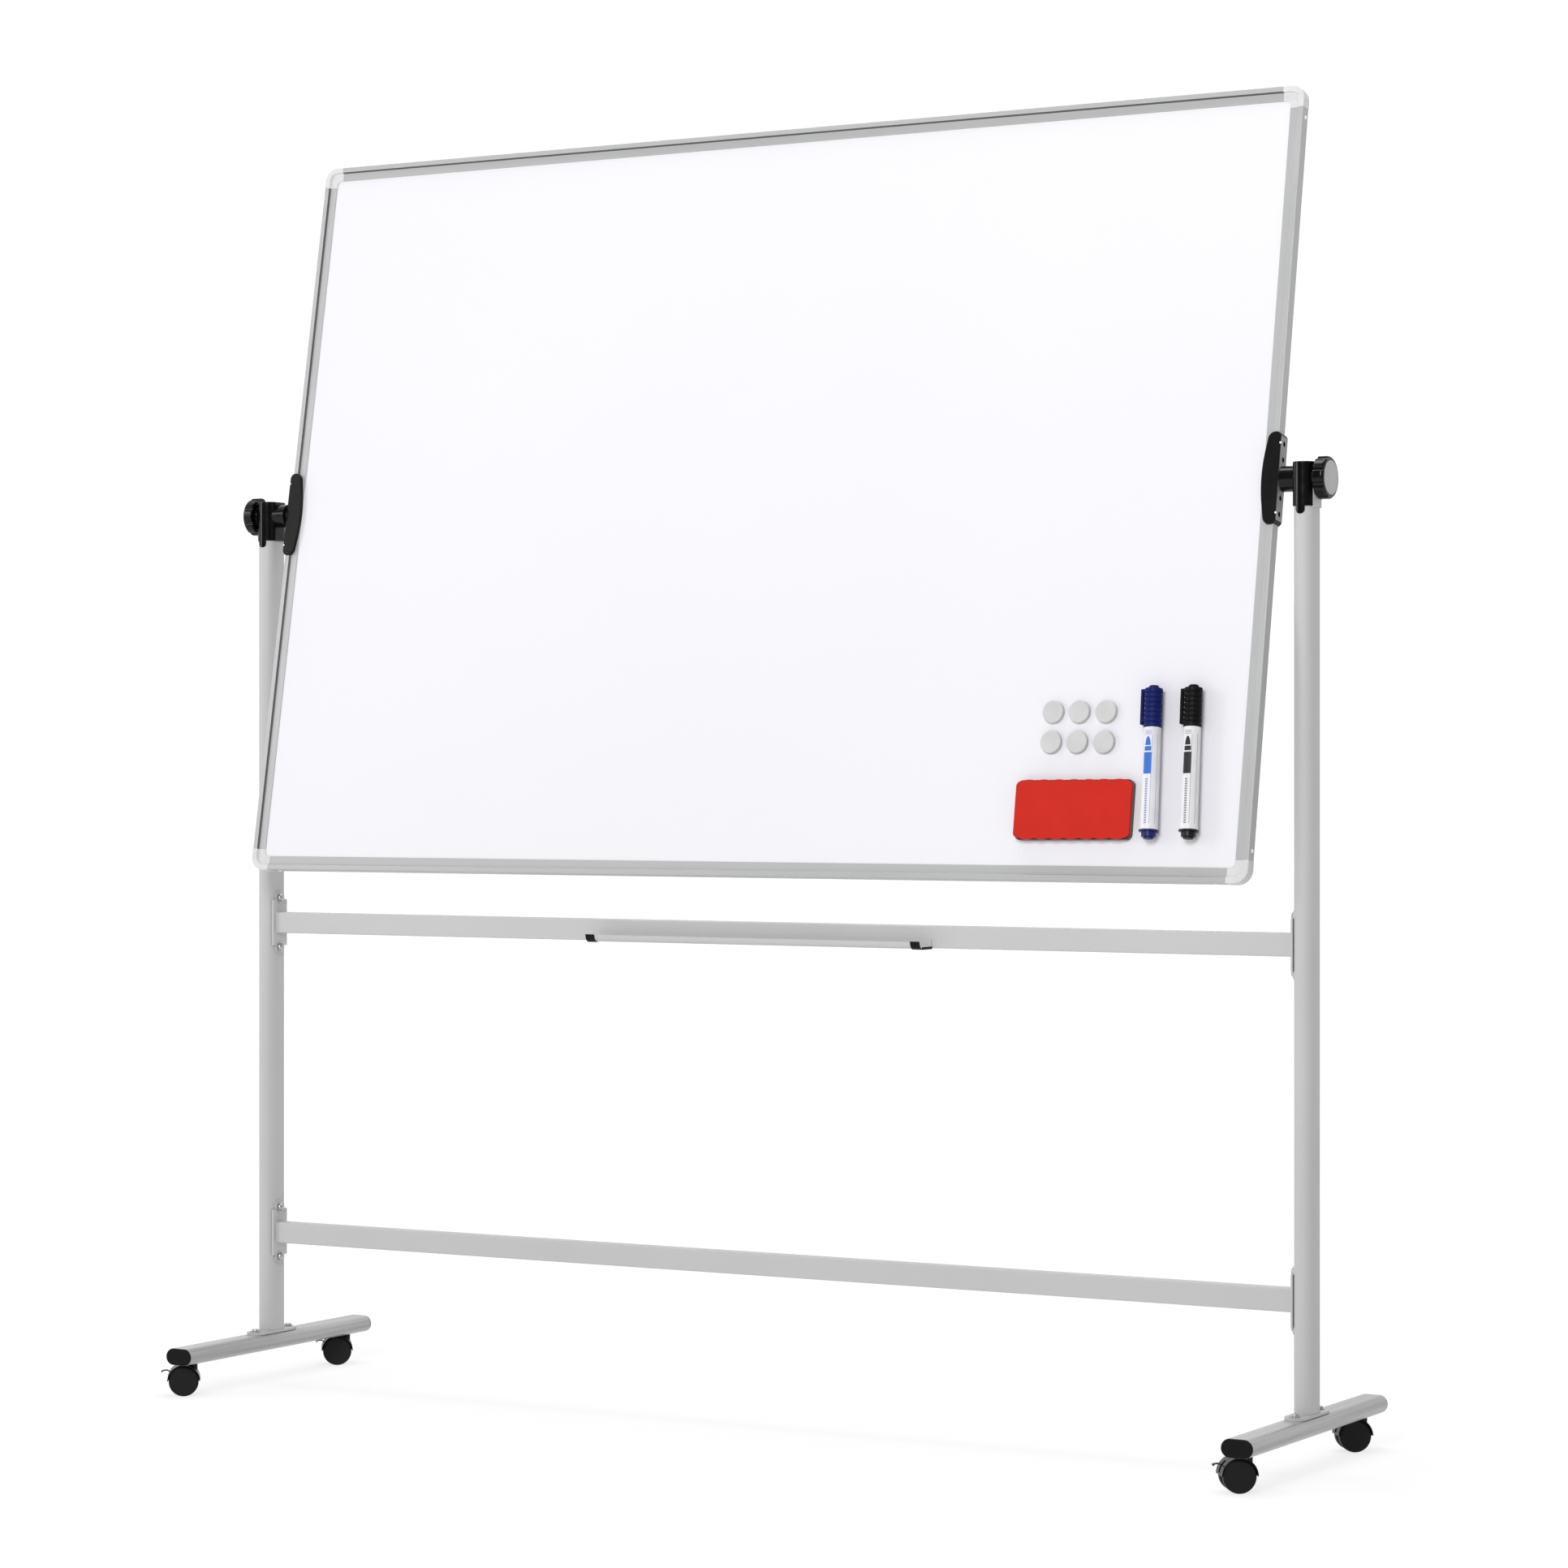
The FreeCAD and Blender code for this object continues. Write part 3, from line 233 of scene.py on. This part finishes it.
blue = (0.006, 0.012, 0.098)
black = (0.005, 0.005, 0.0055)
finishes = {
    "silver_lacquer": silver_lacquer(),
    "drawn_foot": drawn_foot(),
    "frame_along_x": drawn_aluminium("frame_aluminium_level", (0.02, 1.0, 1.0), (0, 0, pivot_height),
                                     board_up, half_height - step_end, half_height - step_start),
    "frame_along_z": drawn_aluminium("frame_aluminium_upright", (1.0, 1.0, 0.02), (0, 0, 0), (-1, 0, 0),
                                     half_width - step_end, half_width - step_start),
    "white_steel_sheet": white_lacquer(),
    "pale_grey_plastic": plastic("pale_corner_plastic", (0.56, 0.56, 0.565), 0.4, specular=0.25).material,
    "black_plastic": plastic("black_moulding", (0.003, 0.003, 0.0035), 0.16, 0.000003,
                             specular=0.22).material,
    "end_cap_plastic": plastic("end_cap_moulding", black, 0.4, specular=0.1).material,
    "bracket_plastic": bracket_plastic(),
    "grey_plastic": plastic("grey_knob_cap", (0.36, 0.36, 0.365), 0.45).material,
    "caster_hood": plastic("caster_hood_plastic", (0.004, 0.004, 0.0045), 0.3, 0.000005,
                           specular=0.14).material,
    "caster_wheel": plastic("caster_wheel_plastic", (0.008, 0.008, 0.0085), 0.5, drift=0.1,
                            specular=0.15).material,
    "zinc_steel": zinc(),
    "white_screw": plastic("white_screw_paint", (0.8, 0.8, 0.8), 0.3).material,
    "magnet_plastic": plastic("magnet_plastic", (0.48, 0.48, 0.48), 0.45, specular=0.3).material,
    "eraser_red": plastic("eraser_red_foam", (0.47, 0.016, 0.008), 0.6, 0.00006, 0.04,
                          specular=0.12).material,
    "eraser_felt": felt(),
    "marker_blue": plastic("marker_blue_plastic", blue, 0.45, specular=0.08).material,
    "marker_black": plastic("marker_black_plastic", black, 0.45, specular=0.08).material,
    "board_core": board_card(),
}


def put_on(names, finish):
    for name in names:
        slots = nodes[name].data.materials
        slots.clear()
        slots.append(finishes[finish])


corners = [f"{end}_{side}" for end in ("front", "back") for side in ("left", "right")]
put_on(["left_foot", "right_foot"], "drawn_foot")
put_on(["left_post", "right_post", "post_base_plates", "upper_crossbar",
        "lower_crossbar", "crossbar_end_plates", "pen_tray", "clamp_straps"], "silver_lacquer")
put_on(["frame_top_rail", "frame_bottom_rail"], "frame_along_x")
put_on(["frame_left_rail", "frame_right_rail"], "frame_along_z")
put_on(["front_sheet", "back_sheet"], "white_steel_sheet")
put_on(["frame_corner_caps"], "pale_grey_plastic")
put_on(["foot_end_caps", "tray_end_caps"], "end_cap_plastic")
put_on(["left_post_clamp", "right_post_clamp", "left_knob", "right_knob"],
       "black_plastic")
put_on(["left_pivot_bracket", "right_pivot_bracket"], "bracket_plastic")
put_on(["left_knob_cap", "right_knob_cap"], "grey_plastic")
put_on([f"{c}_caster_yoke" for c in corners] + [f"{c}_brake_lever" for c in corners], "caster_hood")
put_on([f"{c}_wheel_{k}" for c in corners for k in "ab"], "caster_wheel")
put_on(["stand_screws", "pivot_studs", "caster_stems"], "zinc_steel")
put_on(["frame_screws"], "white_screw")
put_on([f"{row}_magnet_{i}" for row in ("upper", "lower") for i in (1, 2, 3)], "magnet_plastic")
put_on(["eraser_shell"], "eraser_red")
put_on(["eraser_felt"], "eraser_felt")
put_on(["blue_marker_cap"], "marker_blue")
put_on(["black_marker_cap"], "marker_black")
put_on(["board_core"], "board_core")

# ---- markers: plugs and print ------------------------------------------------------------
marker_lean = math.radians(2.35)
plug_top = 0.0134
barrel_top = 0.1669
marker_feet = {"blue": (0.7438, -0.5435), "black": (0.8081, -0.5430)}
marker_depth = sheet_front - 0.0150
barrel_foot_radius = 0.0140
barrel_top_radius = 0.0131
ink_lift = 0.00006               # how far the print stands off the plastic
wrap_pitch = 0.0009              # width of the flat strips that a wrapped print is made of
wrap_steps = 20
marker_inks = {"blue": blue, "black": black}
print_inks = {"blue": (0.035, 0.14, 0.50), "black": (0.02, 0.02, 0.022)}


def marker_place(colour):
    """Matrix of a frame at the marker's foot: Z up the marker, Y into the board."""
    foot_x, foot_z = marker_feet[colour]
    stand = Matrix.Translation((foot_x, marker_depth, foot_z)) @ Matrix.Rotation(-marker_lean, 4, "Y")
    return board_place @ stand


for colour, ink in marker_inks.items():
    place = marker_place(colour)
    foot = place.translation
    axis = place.to_3x3() @ Vector((0, 0, 1))
    paint = plastic(f"{colour}_marker_barrel_plastic", (0.64, 0.64, 0.66), 0.4, specular=0.25)
    plug = paint.math("LESS_THAN", paint.along(foot, axis), plug_top)
    material = paint.tint_where(plug, ink).material
    node = nodes[f"{colour}_marker_barrel"]
    node.data.materials.clear()
    node.data.materials.append(material)


def printed_patch(colour, name, shapes, finish):
    """Ink laid on the barrel: flat outlines (across, up) wrapped round it, a hair above the plastic."""
    mesh = bmesh.new()
    for outline in shapes:
        mesh.faces.new([mesh.verts.new((across, 0, up)) for across, up in outline])
    for step in range(-wrap_steps, wrap_steps + 1):
        everything = list(mesh.verts) + list(mesh.edges) + list(mesh.faces)
        bmesh.ops.bisect_plane(mesh, geom=everything, plane_co=(step * wrap_pitch, 0, 0), plane_no=(1, 0, 0))
    for corner in mesh.verts:
        radius = barrel_radius(corner.co.z) + ink_lift
        turn = corner.co.x / radius
        corner.co.x = radius * math.sin(turn)
        corner.co.y = -radius * math.cos(turn)
    bmesh.ops.recalc_face_normals(mesh, faces=mesh.faces)
    data = bpy.data.meshes.new(name)
    mesh.to_mesh(data)
    mesh.free()
    data.transform(marker_place(colour))
    data.materials.append(finish)
    piece = bpy.data.objects.new(name, data)
    scene.collection.objects.link(piece)
    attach(piece, f"{colour}_marker")


def barrel_radius(z):
    """The barrel tapers from its plug to its shoulder."""
    share = (z - plug_top) / (barrel_top - plug_top)
    return barrel_foot_radius + (barrel_top_radius - barrel_foot_radius) * share


def bar_outline(across, width, low, high, radius):
    """Upright bar with rounded corners, as points (across, up)."""
    points = []
    for cx, cz, start in ((1, 1, 0), (-1, 1, 90), (-1, -1, 180), (1, -1, 270)):
        for turn in (0, 30, 60, 90):
            angle = math.radians(start + turn)
            points.append((across + cx * (width / 2 - radius) + radius * math.cos(angle),
                           (low + high) / 2 + cz * ((high - low) / 2 - radius) + radius * math.sin(angle)))
    return points


def nib_outline(across, width, low, high):
    """Bullet shape, flat below and rounded to a point above."""
    steps = 10
    side = []
    for step in range(steps + 1):
        angle = step / steps * math.pi / 2
        side.append((width / 2 * math.cos(angle) ** 1.2, low + (high - low) * math.sin(angle)))
    left = [(across - reach, up) for reach, up in reversed(side[:-1])]
    return [(across + reach, up) for reach, up in side] + left


def dashes(across, width, low, high, pitch, share):
    """Row of short plain dashes up the barrel."""
    count = int((high - low) / pitch)
    return [bar_outline(across, width, low + i * pitch, low + (i + share) * pitch, 0.0001)
            for i in range(count)]


badge_across = -0.0005           # the badge's middle, round the barrel from its front
for colour, ink in print_inks.items():
    solid_ink = plastic(f"{colour}_print", ink, 0.5, 0.000002, specular=0.2).material
    faint_ink = plastic(f"{colour}_faint_print", tuple(0.22 + 0.5 * c for c in ink), 0.5, 0.000002,
                        specular=0.2).material
    badge = [nib_outline(badge_across, 0.0090, 0.1386, 0.1521),
             bar_outline(badge_across, 0.0110, 0.1302, 0.1371, 0.0006),
             bar_outline(badge_across, 0.0130, 0.0958, 0.1281, 0.0014)]
    printed_patch(colour, f"{colour}_marker_badge", badge, solid_ink)
    lines = [bar_outline(badge_across, 0.0110, 0.1551 + 0.0024 * i, 0.1560 + 0.0024 * i, 0.0002)
             for i in range(3)]
    lines += dashes(badge_across, 0.0040, 0.0215, 0.0915, 0.0036, 0.66)
    lines += dashes(badge_across + 0.0065, 0.0010, 0.0220, 0.1560, 0.0021, 0.6)
    lines += dashes(badge_across + 0.0155, 0.0012, 0.0220, 0.1580, 0.0021, 0.6)
    printed_patch(colour, f"{colour}_marker_small_print", lines, faint_ink)

# ---- brackets: the white pin heads on their front edges, level with the outer screws -------
pin_radius = 0.0019
pin_centre = (0.9057, -0.01115)  # inside the bracket's rounded edge
pin_heights = (0.0530, -0.0530)
pin_wrap = math.radians(120)     # how far the head curves round from its crown


def build_pin(name, side, height):
    """Round head that stands out diagonally from the bracket's rounded edge."""
    mesh = bmesh.new()
    turns = 20
    rings = 6
    centre = Vector((side * pin_centre[0], pin_centre[1], height))
    crown = Vector((side, -1, 0)).normalized()
    across = Vector((side, 1, 0)).normalized()
    tip = mesh.verts.new(centre + crown * pin_radius)
    rows = []
    for k in range(1, rings + 1):
        lean = k / rings * pin_wrap
        middle = centre + crown * pin_radius * math.cos(lean)
        reach = pin_radius * math.sin(lean)
        rows.append([mesh.verts.new(middle + reach * (across * math.cos(a) + Vector((0, 0, math.sin(a)))))
                     for a in (2 * math.pi * i / turns for i in range(turns))])
    for i in range(turns):
        mesh.faces.new((tip, rows[0][i], rows[0][(i + 1) % turns]))
    for inner, outer in zip(rows, rows[1:]):
        for i in range(turns):
            j = (i + 1) % turns
            mesh.faces.new((inner[i], outer[i], outer[j], inner[j]))
    bmesh.ops.recalc_face_normals(mesh, faces=mesh.faces)
    data = bpy.data.meshes.new(name)
    mesh.to_mesh(data)
    mesh.free()
    data.transform(board_place)
    data.shade_smooth()
    data.materials.append(finishes["white_screw"])
    piece = bpy.data.objects.new(name, data)
    scene.collection.objects.link(piece)
    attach(piece, "board")


for side, side_name in ((-1, "left"), (1, "right")):
    for height, end_name in zip(pin_heights, ("upper", "lower")):
        build_pin(f"{side_name}_{end_name}_bracket_pin", side, height)

# ---- studio ------------------------------------------------------------------------------
floor_mesh = bpy.data.meshes.new("floor")
floor_half = 30.0
floor_mesh.from_pydata([(-floor_half, -floor_half, 0), (floor_half, -floor_half, 0),
                        (floor_half, floor_half, 0), (-floor_half, floor_half, 0)], [], [(0, 1, 2, 3)])
floor = bpy.data.objects.new("floor", floor_mesh)
scene.collection.objects.link(floor)
pale = Paint("pale_floor", (0.20, 0.20, 0.20), 0.9, specular=0.0)
pale.mottle(2.0, 0.01)
pale.shader.inputs["Emission Color"].default_value = (1, 1, 1, 1)
spread = pale.tree.nodes.new("ShaderNodeVectorMath")
spread.operation = "LENGTH"
pale.link(pale.position, spread.inputs[0])
pale.link(pale.remap(spread.outputs["Value"], 0.76, 0.95, 1.2, 4.0), pale.shader.inputs["Emission Strength"])
floor_mesh.materials.append(pale.material)

world = bpy.data.worlds.new("studio")
scene.world = world
world.use_nodes = True
tree = world.node_tree
background = tree.nodes["Background"]
direction = tree.nodes.new("ShaderNodeTexCoord")
split = tree.nodes.new("ShaderNodeVectorMath")
split.operation = "DOT_PRODUCT"
split.inputs[1].default_value = (-0.5, 0.866, 0.0)
ramp = tree.nodes.new("ShaderNodeMapRange")
ramp.interpolation_type = "SMOOTHSTEP"
ramp.inputs["From Min"].default_value = -0.5
ramp.inputs["From Max"].default_value = 0.5
ramp.inputs["To Min"].default_value = 0.12
ramp.inputs["To Max"].default_value = 1.05
tree.links.new(direction.outputs["Generated"], split.inputs[0])
tree.links.new(split.outputs["Value"], ramp.inputs["Value"])
# The lighting has its dark side in front; the backdrop itself is white from every side.
backdrop = tree.nodes.new("ShaderNodeLightPath")
seen = tree.nodes.new("ShaderNodeMath")
seen.operation = "MAXIMUM"
tree.links.new(ramp.outputs["Result"], seen.inputs[0])
tree.links.new(backdrop.outputs["Is Camera Ray"], seen.inputs[1])
tree.links.new(seen.outputs[0], background.inputs["Strength"])
background.inputs["Color"].default_value = (1, 1, 1, 1)


def soft_light(name, place, target, size, power):
    data = bpy.data.lights.new(name, "AREA")
    data.shape = "RECTANGLE"
    data.size, data.size_y = size
    data.energy = power
    light = bpy.data.objects.new(name, data)
    light.location = place
    light.rotation_euler = (Vector(target) - Vector(place)).to_track_quat("-Z", "Y").to_euler()
    scene.collection.objects.link(light)


soft_light("front_key", (1.7, -7.1, 4.2), (0, 0, 1.2), (3.0, 3.0), 400)
soft_light("front_left", (-5.2, -4.0, 2.8), (0, 0, 1.2), (1.6, 3.0), 100)
soft_light("overhead", (0, 0.4, 5.2), (0, 0, 0), (4.0, 2.0), 130)
soft_light("right_fill", (3.5, -0.8, 2.6), (0.9, 0, 1.3), (1.0, 1.6), 6)

# ---- camera ------------------------------------------------------------------------------
camera_data = bpy.data.cameras.new("camera")
camera_data.sensor_width = 36.0
camera_data.lens = 97.83
camera_data.shift_y = -0.00826
camera = bpy.data.objects.new("camera", camera_data)
camera.location = (3.42345, -5.82040, 1.03071)
camera.rotation_euler = (math.radians(90.0), 0, math.radians(30.046))
scene.collection.objects.link(camera)
scene.camera = camera
scene.view_settings.view_transform = "Standard"
